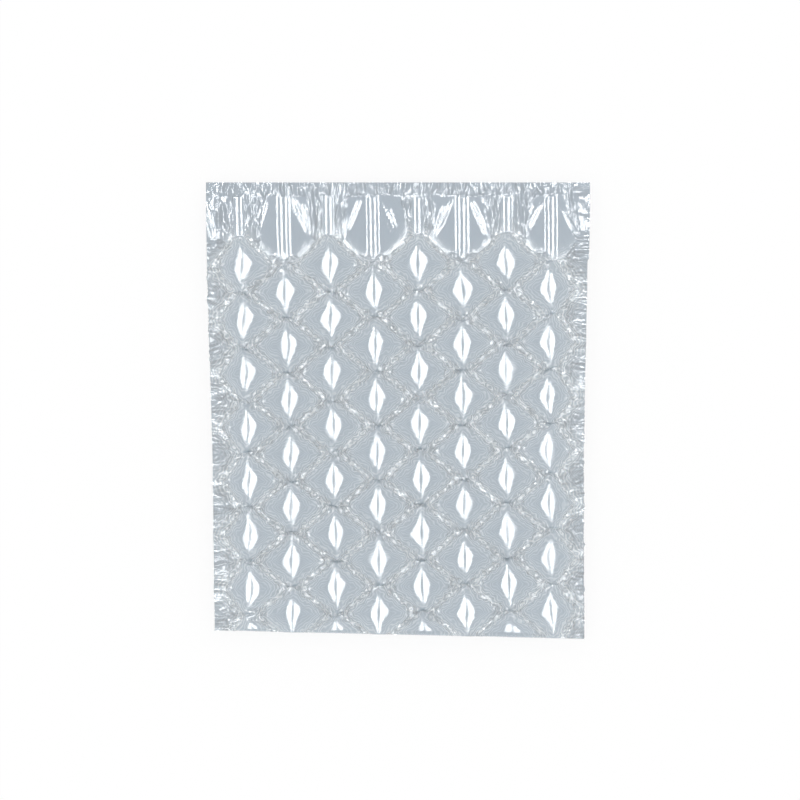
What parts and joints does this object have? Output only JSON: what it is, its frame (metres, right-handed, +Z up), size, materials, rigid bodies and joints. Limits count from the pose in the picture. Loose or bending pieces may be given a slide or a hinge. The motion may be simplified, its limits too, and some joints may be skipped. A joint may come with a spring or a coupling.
{
  "type": "inflated air cushion sheet",
  "caption": "Flat clear film sheet of staggered air cells in parallel chains joined by open necks, with a flat slit header, narrow inlets, crinkled side margins and a folded lower edge.",
  "frame": {"origin": "middle of the sheet's outline box, on the flat surface that the sheet lies on", "axes": "+X across the chains of cells, +Y towards the slit edge of the header, +Z up from the surface that the sheet lies on"},
  "size_m": [0.3262, 0.3876, 0.0266],
  "materials": {
    "clear_film": "clear thin film, glossy, with a cool grey tone where layers overlap"
  },
  "bodies": {
    "root": {"cushion_sheet": "clear_film"}
  },
  "joints": []
}
